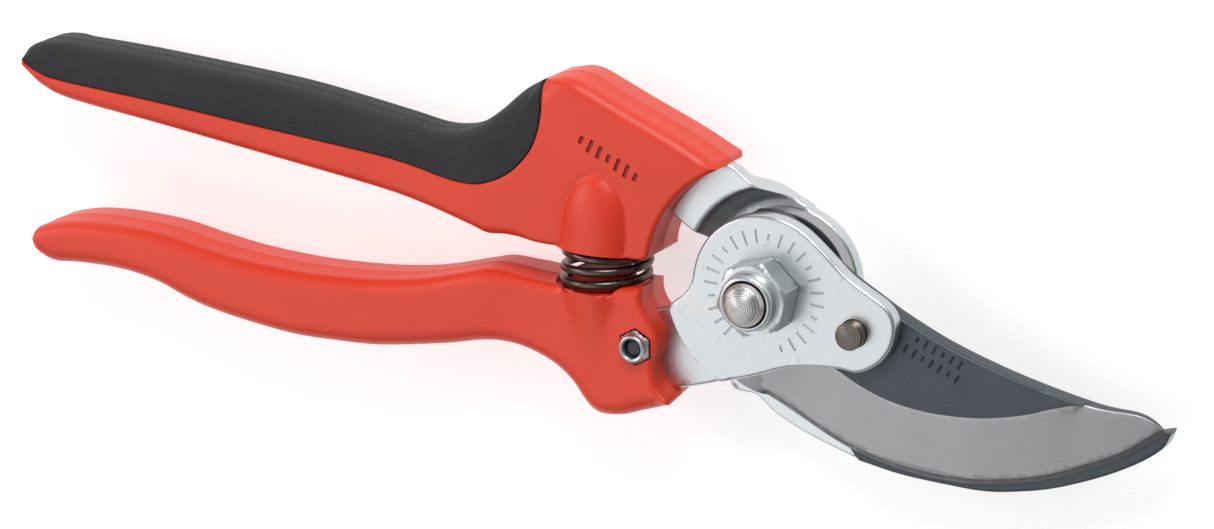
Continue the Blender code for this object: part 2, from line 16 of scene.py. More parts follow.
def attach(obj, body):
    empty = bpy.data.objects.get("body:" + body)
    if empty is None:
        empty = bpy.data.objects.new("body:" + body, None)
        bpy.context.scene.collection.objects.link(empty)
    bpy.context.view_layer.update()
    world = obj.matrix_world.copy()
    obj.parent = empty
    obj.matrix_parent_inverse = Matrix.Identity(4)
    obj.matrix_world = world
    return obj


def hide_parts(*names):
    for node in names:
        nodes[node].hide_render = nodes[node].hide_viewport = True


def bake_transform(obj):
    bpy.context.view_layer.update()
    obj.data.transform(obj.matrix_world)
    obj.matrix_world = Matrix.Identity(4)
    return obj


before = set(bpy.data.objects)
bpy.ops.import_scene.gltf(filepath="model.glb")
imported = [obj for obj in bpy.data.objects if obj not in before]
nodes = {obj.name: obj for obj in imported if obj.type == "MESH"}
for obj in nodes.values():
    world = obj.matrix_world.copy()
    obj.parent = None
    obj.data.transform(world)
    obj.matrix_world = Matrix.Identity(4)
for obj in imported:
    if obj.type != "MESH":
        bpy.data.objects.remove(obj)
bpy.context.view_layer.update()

MM = 0.001
CUT = 11.5
PLATE_T = 3.0
FRONT_Z = CUT + 3.75          # underside of the front plate
REAR_Z = CUT - 6.75           # outer face of the rear plate
TANG_Z = CUT - PLATE_T / 2
FACE = CUT + 7.2              # front faces of the handles
BACK = CUT - 7.2
SPRING = (-33.7, CUT)         # the spring's axis: x and z
SCREW = (-23.4, -15.4)
PIN = (17.5, -3.4)
PIN_R = 2.5
BOLT_R = 3.9
BORE_R = 4.3                  # the pivot bores of the plates and blades
HUB_R = 13.3
HOOK_HUB_R = 13.1
CLEAR_R = 22.9                # the upper handle's front end is an arc about the pivot
MICRO_W = 1.15                # width of the honed band along the cutting edge
MARK_SLOT_IN_ZONES = 4        # material slot of the stamped bars on a face with zones


# ---------------------------------------------------------------- curves

def arc(radius, start, end, centre=(0.0, 0.0), step=0.9):
    """Points on a circle between two angles in degrees."""
    count = max(6, int(abs(math.radians(end - start)) * radius / step))
    a = np.radians(np.linspace(start, end, count + 1))
    return np.stack([centre[0] + radius * np.cos(a), centre[1] + radius * np.sin(a)], 1)


def smooth(points, step=0.9):
    """A Catmull-Rom curve through the points."""
    p = np.array(points, float)
    p = np.vstack([2 * p[0] - p[1], p, 2 * p[-1] - p[-2]])
    out = []
    for a, b, c, d in zip(p, p[1:], p[2:], p[3:]):
        t = np.linspace(0, 1, max(2, round(np.linalg.norm(c - b) / step) + 1))[:-1, None]
        out.append(0.5 * (2 * b + (c - a) * t + (2 * a - 5 * b + 4 * c - d) * t ** 2
                          + (3 * b - a - 3 * c + d) * t ** 3))
    return np.vstack(out + [p[-2:-1]])


def loop(*runs):
    """One closed outline from (points, edge rounding) runs, and the rounding at each point."""
    pts, size = [], []
    for run, rim in runs:
        for i, q in enumerate(np.array(run, float)):
            if not pts or np.linalg.norm(pts[-1] - q) > 0.08:
                pts.append(q)
                size.append(rim)
    if np.linalg.norm(pts[0] - pts[-1]) < 0.08:
        pts.pop()
        size.pop()
    pts, size = np.array(pts), np.array(size, float)
    if signed_area(pts) < 0:
        pts, size = pts[::-1], size[::-1]
    for _ in range(3):
        size = (np.roll(size, 1) + 2 * size + np.roll(size, -1)) / 4
    return pts, size


def signed_area(p):
    q = np.roll(p, -1, 0)
    return float(np.sum(p[:, 0] * q[:, 1] - q[:, 0] * p[:, 1]) / 2)


def normals(p):
    """Inward normals of a closed outline that runs anticlockwise."""
    ahead = np.roll(p, -1, 0) - p
    ahead /= np.linalg.norm(ahead, axis=1)[:, None]
    both = ahead + np.roll(ahead, 1, 0)
    both /= np.linalg.norm(both, axis=1)[:, None] + 1e-9
    return np.stack([-both[:, 1], both[:, 0]], 1)


def nearest(points, line, values=None, closed=True):
    """Distance from each point to a line, and the line's value where it is nearest."""
    a = line if closed else line[:-1]
    b = np.roll(line, -1, 0) if closed else line[1:]
    va = np.zeros(len(a)) if values is None else values[:len(a)]
    vb = np.zeros(len(a)) if values is None else (np.roll(values, -1) if closed else values[1:])
    far, val = [], []
    for k in range(0, len(points), 1500):
        p = points[k:k + 1500, None, :]
        t = np.clip(((p - a) * (b - a)).sum(2) / ((b - a) ** 2).sum(1), 0, 1)
        d = np.linalg.norm(p - a - t[..., None] * (b - a), axis=2)
        i = d.argmin(1)
        n = np.arange(len(i))
        far.append(d[n, i])
        val.append(va[i] + (vb[i] - va[i]) * t[n, i])
    return np.concatenate(far), np.concatenate(val)


def inside(points, outline):
    x, y = points[:, 0], points[:, 1]
    hit = np.zeros(len(points), bool)
    for (ax, ay), (bx, by) in zip(outline, np.roll(outline, -1, 0)):
        if ay != by:
            hit ^= ((ay > y) != (by > y)) & (x < (bx - ax) * (y - ay) / (by - ay) + ax)
    return hit


def step(value, low, high):
    """A smooth step from 0 at low to 1 at high."""
    t = np.clip((value - low) / (high - low), 0, 1)
    return t * t * (3 - 2 * t)


def soft_max(a, b, width):
    return 0.5 * (a + b + np.sqrt((a - b) ** 2 + width * width))


# ---------------------------------------------------------------- solids

def finish(name, bm, mats, body, replaced=(), sharp=32, merge=True):
    """Makes an object from a mesh in millimetres, and puts it on its CAD body."""
    if merge:
        bmesh.ops.remove_doubles(bm, verts=bm.verts, dist=1e-4)
    bmesh.ops.scale(bm, vec=(MM, MM, MM), verts=bm.verts)
    mesh = bpy.data.meshes.new(name)
    bm.to_mesh(mesh)
    bm.free()
    mesh.shade_smooth()
    mesh.set_sharp_from_angle(angle=math.radians(sharp))
    obj = bpy.data.objects.new(name, mesh)
    bpy.context.scene.collection.objects.link(obj)
    for mat in mats if isinstance(mats, (list, tuple)) else [mats]:
        mesh.materials.append(mat)
    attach(obj, body)
    if replaced:
        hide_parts(*replaced)
    return obj


def relief(outline, rim, top, bottom, rim_below=None, holes=(), creases=(), marks=(),
           grid=1.6, fine=(), zone=None, parting=0.0, sink=0.14):
    """A thick outline whose two faces are height fields with rounded rims.

    top and bottom take x, y and the rim's fall and give a height. marks are stamped bars, sunk
    by sink, with a material slot of their own. fine is a list of (x0, y0, x1, y1, spacing)
    boxes. zone gives a material slot. parting is how far the mould line stands out.
    """
    below = rim if rim_below is None else rim_below
    inward = normals(outline)
    loose = []
    for share in (0.034, 0.134, 0.293, 0.5, 0.741, 1.0):
        ring = outline + inward * (rim * share)[:, None]
        d, size = nearest(ring, outline, rim)
        loose.append(ring[(d > 0.96 * share * size) & inside(ring, outline)])
    x0, y0 = outline.min(0)
    x1, y1 = outline.max(0)
    for ax, ay, bx, by, gap in [(x0, y0, x1, y1, grid)] + list(fine):
        gx, gy = np.meshgrid(np.arange(ax, bx, gap), np.arange(ay, by, gap * 0.87))
        gx[1::2] += gap / 2
        cells = np.stack([gx.ravel(), gy.ravel()], 1)
        cells = cells[inside(cells, outline)]
        d, size = nearest(cells, outline, rim)
        loose.append(cells[d > size + 0.35 * min(gap, 1.0)])
    loose = np.vstack(loose)
    for hole in holes:
        loose = loose[nearest(loose, hole)[0] > 0.25]
        loose = loose[~inside(loose, hole)]
    for crease in creases:
        loose = loose[nearest(loose, crease, closed=False)[0] > 0.2]
    for outer, inner in marks:
        loose = loose[(nearest(loose, outer)[0] > 0.15) & ~inside(loose, outer)]
    points = [Vector(p) for p in loose]
    edges = []
    closed = [outline] + list(holes) + [q for mark in marks for q in mark]
    for run, shut in [(r, 1) for r in closed] + [(r, 0) for r in creases]:
        first = len(points)
        points += [Vector(p) for p in run]
        edges += [(first + i, first + i + 1) for i in range(len(run) - 1)]
        if shut:
            edges.append((first + len(run) - 1, first))
    verts, _, faces, *_ = geometry.delaunay_2d_cdt(points, edges, [], 0, 1e-4)
    flat = np.array([v[:] for v in verts])
    faces = [list(f) for f in faces]
    middle = np.array([flat[f].mean(0) for f in faces])
    keep = inside(middle, outline)
    for hole in holes:
        keep &= ~inside(middle, hole)
    faces = [f for f, k in zip(faces, keep) if k]
    middle = middle[keep]

    def fall(sizes):
        d, size = nearest(flat, outline, sizes)
        size = np.maximum(size, 1e-3)
        reach = 1 - np.clip(d / size, 0, 1)
        return size * (1 - np.sqrt(1 - reach ** 2))

    high = top(flat[:, 0], flat[:, 1], fall(rim))
    low = bottom(flat[:, 0], flat[:, 1], fall(below))
    for outer, inner in marks:
        sunk = inside(flat, inner + (inner - inner.mean(0)) * 0.02)
        high = np.where(sunk, high - sink, high)
    high = np.maximum(high, low + 0.02)
    bm = bmesh.new()
    used = sorted({i for f in faces for i in f})
    up = {i: bm.verts.new((*flat[i], high[i])) for i in used}
    down = {i: bm.verts.new((*flat[i], low[i])) for i in used}
    kinds = zone(middle[:, 0], middle[:, 1]) if zone else np.zeros(len(faces), int)
    tinted = MARK_SLOT_IN_ZONES if zone else 1
    for outer, _ in marks:
        kinds = np.where(inside(middle, outer), tinted, kinds)
    rimmed = {}
    for f, kind in zip(faces, kinds):
        face = bm.faces.new([up[i] for i in f])
        face.material_index = int(kind)
        bm.faces.new([down[i] for i in reversed(f)])
        for a, b in zip(f, f[1:] + f[:1]):
            if (b, a) in rimmed:
                del rimmed[(b, a)]
            else:
                rimmed[(a, b)] = True
    out = {}
    if parting:
        ahead = {a: b for a, b in rimmed}
        behind = {b: a for a, b in rimmed}
        for a in ahead:
            along = flat[ahead[a]] - flat[behind[a]]
            along /= np.linalg.norm(along) + 1e-9
            out[a] = np.array([along[1], -along[0]])
    rows = {}

    def wall(i):
        if i not in rows:
            rows[i] = [down[i]]
            if parting:
                z = (high[i] + low[i]) / 2
                for dz, proud in ((-0.14, 0), (0, parting), (0.14, 0)):
                    p = flat[i] + out[i] * proud
                    rows[i].append(bm.verts.new((*p, z + dz)))
            rows[i].append(up[i])
        return rows[i]

    for a, b in rimmed:
        ra, rb = wall(a), wall(b)
        for k in range(len(ra) - 1):
            bm.faces.new([ra[k], rb[k], rb[k + 1], ra[k + 1]])
    if zone:
        for e in bm.edges:
            if len(e.link_faces) == 2 and len({f.material_index for f in e.link_faces}) > 1:
                e.smooth = False
    return bm


def lathe(profile, sides=96, shape=None, at=(0, 0, 0), axis="Z"):
    """A turned solid. profile is (z, radius) from end to end; shape(angle, z, r) gives r."""
    bm = bmesh.new()
    rings = []
    for z, r in profile:
        if r <= 0:
            rings.append([bm.verts.new((0, 0, z))])
            continue
        ring = []
        for i in range(sides):
            a = 2 * math.pi * i / sides
            q = shape(a, z, r) if shape else r
            ring.append(bm.verts.new((q * math.cos(a), q * math.sin(a), z)))
        rings.append(ring)
    pairs = list(zip(rings, rings[1:]))
    if len(rings[0]) > 1:
        pairs.append((rings[-1], rings[0]))
    for a, b in pairs:
        for i in range(sides):
            j = (i + 1) % sides
            if len(a) == 1:
                bm.faces.new([a[0], b[j], b[i]])
            elif len(b) == 1:
                bm.faces.new([a[i], a[j], b[0]])
            else:
                bm.faces.new([a[i], a[j], b[j], b[i]])
    bmesh.ops.recalc_face_normals(bm, faces=bm.faces)
    turn = Matrix.Rotation(-math.pi / 2, 4, "X") if axis == "Y" else Matrix.Identity(4)
    bmesh.ops.transform(bm, matrix=Matrix.Translation(at) @ turn, verts=bm.verts)
    return bm


def hexagon(angle, flats, turn=0.0):
    third = math.pi / 3
    return flats / 2 / math.cos((angle - turn + third / 2) % third - third / 2)


def cut(obj, bm):
    """Takes a tool solid out of an object for good."""
    bmesh.ops.scale(bm, vec=(MM, MM, MM), verts=bm.verts)
    bmesh.ops.recalc_face_normals(bm, faces=bm.faces)
    mesh = bpy.data.meshes.new("tool")
    bm.to_mesh(mesh)
    bm.free()
    tool = bpy.data.objects.new("tool", mesh)
    bpy.context.scene.collection.objects.link(tool)
    change = obj.modifiers.new("cut", "BOOLEAN")
    change.operation = "DIFFERENCE"
    change.solver = "EXACT"
    change.object = tool
    graph = bpy.context.evaluated_depsgraph_get()
    made = bpy.data.meshes.new_from_object(obj.evaluated_get(graph))
    obj.modifiers.clear()
    old = obj.data
    obj.data = made
    bpy.data.objects.remove(tool)
    bpy.data.meshes.remove(old)
    obj.data.shade_smooth()
    obj.data.set_sharp_from_angle(angle=math.radians(32))


# ---------------------------------------------------------------- materials

class Nodes:
    """A short way to write a shader."""

    def __init__(self, name, **fixed):
        self.mat = bpy.data.materials.new(name)
        self.mat.use_nodes = True
        self.tree = self.mat.node_tree
        self.shader = self.tree.nodes["Principled BSDF"]
        self.where = self.new("ShaderNodeTexCoord").outputs["Object"]
        for key, value in fixed.items():
            self.shader.inputs[key.replace("_", " ")].default_value = value

    def new(self, kind, **inputs):
        node = self.tree.nodes.new(kind)
        for key, value in inputs.items():
            if key in ("operation", "data_type", "blend_type", "feature", "wave_type",
                       "bands_direction", "rings_direction"):
                setattr(node, key, value)
                continue
            socket = node.inputs[int(key[1:])] if key[0] == "i" and key[1:].isdigit() \
                else node.inputs[key.replace("_", " ")]
            if hasattr(value, "links"):
                self.tree.links.new(value, socket)
            else:
                socket.default_value = value
        return node

    def math(self, operation, a, b=0.0, c=0.0):
        return self.new("ShaderNodeMath", operation=operation, i0=a, i1=b, i2=c).outputs[0]

    def scaled(self, x, y, z):
        """Object coordinates stretched, in repeats per metre."""
        return self.new("ShaderNodeVectorMath", operation="MULTIPLY", i0=self.where,
                        i1=(x, y, z)).outputs[0]

    def noise(self, scale, detail=3.0, rough=0.5, vector=None):
        return self.new("ShaderNodeTexNoise", Vector=vector or self.where, Scale=scale,
                        Detail=detail, Roughness=rough).outputs["Fac"]

    def ramp(self, value, low, high, to_low=0.0, to_high=1.0):
        return self.new("ShaderNodeMapRange", Value=value, From_Min=low, From_Max=high,
                        To_Min=to_low, To_Max=to_high).outputs[0]

    def mix(self, factor, a, b):
        """A colour between two colours."""
        node = self.new("ShaderNodeMix", data_type="RGBA", i0=factor)
        for socket, value in ((node.inputs[6], a), (node.inputs[7], b)):
            if hasattr(value, "links"):
                self.tree.links.new(value, socket)
            else:
                socket.default_value = (*value, 1)
        return node.outputs[2]

    def bump(self, height, strength, distance, below=None):
        node = self.new("ShaderNodeBump", Height=height, Strength=strength, Distance=distance)
        if below:
            self.tree.links.new(below, node.inputs["Normal"])
        return node.outputs[0]

    def set(self, **inputs):
        for key, value in inputs.items():
            self.tree.links.new(value, self.shader.inputs[key.replace("_", " ")])
        return self.mat


def red_nylon():
    n = Nodes("red_nylon", Specular_IOR_Level=0.5)
    grain = n.noise(3800, 2, 0.6)
    drift = n.noise(40, 3, 0.5)
    colour = n.mix(n.ramp(drift, 0.3, 0.7), (0.70, 0.034, 0.008), (0.76, 0.046, 0.012))
    colour = n.mix(n.ramp(n.noise(2300, 2), 0.35, 0.75, 0, 0.35), colour, (0.60, 0.022, 0.006))
    return n.set(Base_Color=colour, Roughness=n.ramp(grain, 0.3, 0.7, 0.36, 0.48),
                 Normal=n.bump(grain, 0.10, 0.0002, n.bump(drift, 0.15, 0.0006)))


def black_elastomer():
    n = Nodes("black_elastomer", Specular_IOR_Level=0.4)
    stipple = n.noise(2600, 2, 0.7)
    cells = n.new("ShaderNodeTexVoronoi", Vector=n.where, Scale=1500.0).outputs["Distance"]
    specks = n.ramp(n.noise(2300, 1, 0.5), 0.72, 0.80)
    colour = n.mix(n.ramp(n.noise(60, 3), 0.3, 0.7), (0.011, 0.011, 0.013), (0.016, 0.016, 0.018))
    colour = n.mix(specks, colour, (0.05, 0.05, 0.052))
    height = n.math("MULTIPLY_ADD", cells, 0.6, stipple)
    return n.set(Base_Color=colour, Roughness=n.ramp(stipple, 0.3, 0.7, 0.52, 0.74),
                 Normal=n.bump(height, 0.35, 0.0002))


def zinc(name="zinc", shade=1.0, tint=False):
    n = Nodes(name, Metallic=1.0)
    cloud = n.noise(120, 4, 0.6)
    grit = n.noise(2600, 2, 0.7)
    pits = n.ramp(n.noise(900, 2, 0.6), 0.66, 0.78, 0, 0.6)
    light = tuple(c * shade for c in (0.74, 0.77, 0.78))
    dull = tuple(c * shade for c in (0.66, 0.70, 0.72))
    colour = n.mix(n.ramp(cloud, 0.35, 0.65), dull, light)
    if tint:
        warm = n.ramp(n.noise(70, 3, 0.6), 0.56, 0.70, 0, 0.25)
        colour = n.mix(warm, colour, (0.76, 0.68, 0.62))
    colour = n.mix(pits, colour, tuple(c * 0.55 for c in dull))
    rough = n.math("ADD", n.ramp(cloud, 0.3, 0.7, 0.27, 0.40), n.ramp(grit, 0.4, 0.8, 0, 0.10))
    return n.set(Base_Color=colour, Roughness=rough,
                 Normal=n.bump(grit, 0.14, 0.0001, n.bump(cloud, 0.22, 0.0004)))


def ground_steel(name, shade, rough, direction=(250, 2600, 2600)):
    """Steel with the fine parallel scratches of a grinding wheel."""
    n = Nodes(name, Metallic=1.0)
    lines = n.noise(1.0, 3, 0.65, n.scaled(*direction))
    wide = n.noise(90, 3, 0.5)
    colour = n.mix(n.ramp(lines, 0.3, 0.7), tuple(shade * c for c in (0.86, 0.88, 0.90)),
                   tuple(shade * c for c in (1.0, 1.0, 1.0)))
    return n.set(Base_Color=colour, Roughness=n.math("ADD", n.ramp(wide, 0.3, 0.7, rough,
                                                                   rough + 0.06),
                                                     n.ramp(lines, 0.3, 0.7, 0, 0.08)),
                 Normal=n.bump(lines, 0.12, 0.00008))


def dark_oxide():
    n = Nodes("dark_oxide", Metallic=0.55)
    cloud = n.noise(150, 4, 0.6)
    grit = n.noise(2400, 2, 0.7)
    scuffs = n.ramp(n.noise(1.0, 3, 0.6, n.scaled(90, 900, 300)), 0.66, 0.74, 0, 0.35)
    colour = n.mix(n.ramp(cloud, 0.3, 0.7), (0.046, 0.056, 0.066), (0.070, 0.083, 0.094))
    colour = n.mix(scuffs, colour, (0.15, 0.165, 0.18))
    return n.set(Base_Color=colour, Roughness=n.ramp(cloud, 0.3, 0.7, 0.36, 0.5),
                 Normal=n.bump(grit, 0.25, 0.0001))


def turned_steel(name, colour, centre, pitch=2600.0):
    """Steel with rings left by a lathe tool, about an axis along Z."""
    n = Nodes(name, Metallic=1.0)
    split = n.new("ShaderNodeSeparateXYZ", Vector=n.where).outputs
    dx = n.math("SUBTRACT", split[0], centre[0] * MM)
    dy = n.math("SUBTRACT", split[1], centre[1] * MM)
    radius = n.math("SQRT", n.math("ADD", n.math("MULTIPLY", dx, dx), n.math("MULTIPLY", dy, dy)))
    wave = n.math("SINE", n.math("MULTIPLY", radius, pitch * 6.283))
    wobble = n.noise(500, 3, 0.6)
    rings = n.math("MULTIPLY_ADD", wobble, 1.4, wave)
    shade = n.ramp(rings, -0.6, 1.8)
    return n.set(Base_Color=n.mix(shade, tuple(c * 0.72 for c in colour), colour),
                 Roughness=n.ramp(wobble, 0.3, 0.7, 0.24, 0.40),
                 Normal=n.bump(rings, 0.30, 0.0001))


def bronze_wire():
    n = Nodes("bronze_wire", Metallic=1.0)
    cloud = n.noise(400, 3, 0.6)
    colour = n.mix(n.ramp(cloud, 0.3, 0.7), (0.075, 0.052, 0.044), (0.16, 0.115, 0.095))
    return n.set(Base_Color=colour, Roughness=n.ramp(cloud, 0.3, 0.7, 0.22, 0.34),
                 Normal=n.bump(n.noise(2200, 2), 0.12, 0.0001))


def plain(name, colour, rough, metallic=0.0):
    n = Nodes(name, Metallic=metallic)
    grain = n.noise(1800, 3, 0.6)
    shade = n.mix(n.ramp(grain, 0.3, 0.7), tuple(c * 0.8 for c in colour), colour)
    return n.set(Base_Color=shade, Roughness=n.ramp(grain, 0.3, 0.7, rough, rough + 0.12),
                 Normal=n.bump(grain, 0.12, 0.0001))


RED = red_nylon()
BLACK = black_elastomer()
ZINC = zinc("zinc", 0.80, tint=True)
ZINC_REAR = zinc("zinc_rear", 0.86)
ZINC_MARK = zinc("zinc_mark", 0.6)
RED_MARK = plain("red_mark", (0.36, 0.012, 0.004), 0.5)
BRIGHT = zinc("zinc_bright", 0.82)
BEVEL = ground_steel("ground_bevel", 0.46, 0.40)
MICRO = ground_steel("honed_edge", 0.21, 0.36, (900, 900, 900))
HEEL = ground_steel("ground_heel", 0.30, 0.34, (2600, 300, 2600))
OXIDE = dark_oxide()
HUB = ground_steel("hub_wall", 0.42, 0.36, (2600, 2600, 200))
BRONZE = bronze_wire()
# Near-black painted shade: the screw's end, seen deep inside the small nut's bore, is painted as
# the shade of that hole.
BORE_SHADE = plain("bore_shade", (0.02, 0.022, 0.026), 0.4)
HOOK = dark_oxide()
OXIDE_MARK = plain("oxide_mark", (0.028, 0.032, 0.036), 0.5, 0.5)
BOLT = turned_steel("bolt_steel", (0.62, 0.60, 0.58), (0, 0))
PIN_STEEL = turned_steel("pin_steel", (0.20, 0.165, 0.145), PIN, 2200.0)


# ---------------------------------------------------------------- handles

FRONT_ARC = arc(CLEAR_R, 120.5, 176)
UPPER_FOOT = smooth([(-23.2, 0.9), (-26.0, 0.4), (-33.6, 0.1), (-43.0, -0.8), (-51.0, -1.0),
                     (-55.2, -1.6), (-58.5, -0.9), (-68.0, 0.9), (-78.0, 2.0), (-102.0, 3.1),
                     (-125.0, 4.1), (-144.0, 4.8), (-150.5, 6.2), (-154.6, 8.6)])
UPPER_BUTT = smooth([(-154.6, 8.6), (-155.6, 10.6), (-154.6, 12.8), (-152.0, 14.2),
                     (-148.0, 14.9)])
GRIP_BACK = smooth([(-148.0, 14.9), (-132.0, 15.7), (-109.0, 16.2), (-97.0, 16.2),
                    (-86.0, 15.6), (-76.0, 14.9), (-69.6, 14.4), (-65.5, 14.9), (-62.0, 16.1),
                    (-58.2, 18.6), (-54.9, 21.7), (-51.9, 25.0), (-49.8, 26.8), (-46.9, 28.7)])
HUMP = smooth([(-46.9, 28.7), (-43.1, 30.1), (-40.2, 30.2), (-37.1, 29.3), (-29.9, 26.9),
               (-19.8, 23.7), (-12.0, 20.7)])
SEAM = smooth([(-46.9, 28.7), (-46.3, 26.0), (-46.1, 23.3), (-46.3, 20.1), (-47.2, 16.6),
               (-49.0, 13.5), (-51.7, 10.5), (-55.0, 8.4), (-58.0, 7.3), (-61.5, 7.0),
               (-65.6, 7.3), (-70.8, 8.0), (-79.0, 8.5), (-101.6, 8.5), (-124.6, 8.6),
               (-145.8, 8.4), (-151.0, 9.0), (-155.6, 10.6)])
LOWER_TOP = smooth([(-23.6, -4.7), (-27.0, -5.4), (-31.0, -6.2), (-36.0, -7.2), (-40.0, -7.8),
                    (-46.0, -8.1), (-54.0, -8.2), (-58.6, -9.6),
                    (-66.8, -12.7), (-74.0, -14.7), (-83.3, -16.4), (-94.6, -17.7),
                    (-106.0, -18.1), (-115.0, -17.7), (-124.0, -17.0), (-133.4, -17.4),
                    (-140.6, -18.3), (-146.0, -19.7), (-150.4, -21.8), (-151.7, -24.2)])
LOWER_FOOT = smooth([(-151.7, -24.2), (-151.0, -26.2), (-148.6, -27.4), (-146.0, -27.8),
                     (-141.4, -27.0), (-134.8, -26.3), (-128.8, -26.2), (-122.8, -26.9),
                     (-116.8, -28.5), (-110.8, -29.5), (-102.0, -30.1), (-93.3, -30.2),
                     (-84.8, -29.4), (-75.7, -28.1), (-62.9, -24.8), (-55.4, -22.4),
                     (-51.4, -21.6), (-46.8, -21.5), (-42.7, -22.2), (-39.0, -23.5),
                     (-35.8, -25.6), (-33.6, -27.9), (-31.4, -29.5), (-28.9, -30.1),
                     (-25.4, -29.4), (-22.1, -27.9), (-18.9, -26.5), (-16.8, -25.5)])
LOWER_FRONT = smooth([(-16.8, -25.5), (-16.1, -24.9), (-16.1, -24.2), (-17.0, -23.5),
                      (-18.5, -22.4), (-19.4, -20.8), (-19.9, -18.2), (-19.4, -15.4),
                      (-19.5, -13.0), (-20.6, -11.0), (-22.2, -9.0), (-23.4, -6.8),
                      (-23.6, -4.7)], 0.5)


def offset(line, distance):
    """An open line moved to its left."""
    along = np.gradient(line, axis=0)
    along /= np.linalg.norm(along, axis=1)[:, None]
    return line + np.stack([-along[:, 1], along[:, 0]], 1) * distance


def bar(centre, angle, length, width, chamfer=0.1):
    """A stamped bar: its outer and inner loops."""
    c, s = math.cos(math.radians(angle)), math.sin(math.radians(angle))
    loops = []
    for less in (0.0, chamfer):
        a, b = length / 2 - less, width / 2 - less
        loops.append(np.array([(centre[0] + u * c - v * s, centre[1] + u * s + v * c)
                               for u, v in ((-a, -b), (a, -b), (a, b), (-a, b))]))
    return tuple(loops)


def spring_bulge(x, y):
    """The swelling round the spring's socket, an ogive in plan."""
    r = 9.6 * (1 - np.clip((y - 1.0) / 21.0, 0, 1) ** 3.0)
    return np.sqrt(np.clip(r ** 2 - (x - SPRING[0]) ** 2, 0, None))


def upper_shell():
    outline, rim = loop((FRONT_ARC, 0.9), (UPPER_FOOT[:14], 0.5), (UPPER_FOOT[14:26], 1.2),
                        (UPPER_FOOT[26:], 2.2), (UPPER_BUTT[:3], 2.0), (SEAM[::-1], 0.35),
                        (HUMP, 2.6))

    def top(x, y, fall):
        # Towards the grip the face rolls over with the grip's own rounded back.
        p = np.stack([x, y], 1)
        back, _ = nearest(p, GRIP_BACK, closed=False)
        roll = 3.6 * (1 - np.sqrt(1 - (1 - np.clip(back / 5.0, 0, 1)) ** 2))
        face = FACE - np.maximum(fall, roll) - 0.25 * step(y, 16, 27)
        bulge = CUT + spring_bulge(x, y)
        groove = 0.22 * np.exp(-((bulge - face) / 0.45) ** 2)
        return np.where(bulge > CUT + 5, soft_max(face, bulge, 0.12) - groove, face)

    def bottom(x, y, fall):
        face = BACK + fall
        bulge = CUT - spring_bulge(x, y)
        return np.where(bulge < CUT - 5, -soft_max(-face, -bulge, 0.25), face)

    # A row of plain bars stands where a number would be moulded.
    along = np.array([math.cos(math.radians(-22)), math.sin(math.radians(-22))])
    marks = [bar(np.array([-37.6, 20.0]) + along * 2.0 * k, 72, 2.5 if k % 3 else 1.5, 0.8, 0.12)
             for k in range(7)]
    below = np.maximum(rim, 0.35)
    arc_part = nearest(outline, FRONT_ARC, closed=False)[0] < 0.1
    below = np.where(arc_part, 2.4, below)
    bm = relief(outline, rim, top, bottom, below, marks=marks,
                fine=[(-42.5, -1, -25, 18, 0.45)], parting=0.07, sink=0.35)
    shell = finish("upper_shell", bm, [RED, RED_MARK], "upper", ["upper_handle"], 30)
    socket = lathe([(-3, 0), (-3, 8.65), (8.4, 8.65), (8.4, 0)], 64, at=(SPRING[0], 0, CUT),
                   axis="Y")
    cut(shell, socket)
    return shell


def grip():
    seam = offset(SEAM, -0.06)[2:-1]
    outline, rim = loop((UPPER_BUTT[1:], 3.4), (GRIP_BACK[:-1], 4.6), (seam, 0.35))

    def top(x, y, fall):
        face = FACE - fall
        # The thumb's hollow, where the grip climbs to the hump.
        hollow = np.exp(-(((x + 62) / 9) ** 2 + ((y - 12.0) / 4.0) ** 2))
        return face - 0.5 * hollow

    bm = relief(outline, rim, top, lambda x, y, fall: BACK + fall, grid=1.2, parting=0.05)
    return finish("grip", bm, [BLACK], "upper", ["grip_overmould"], 34)


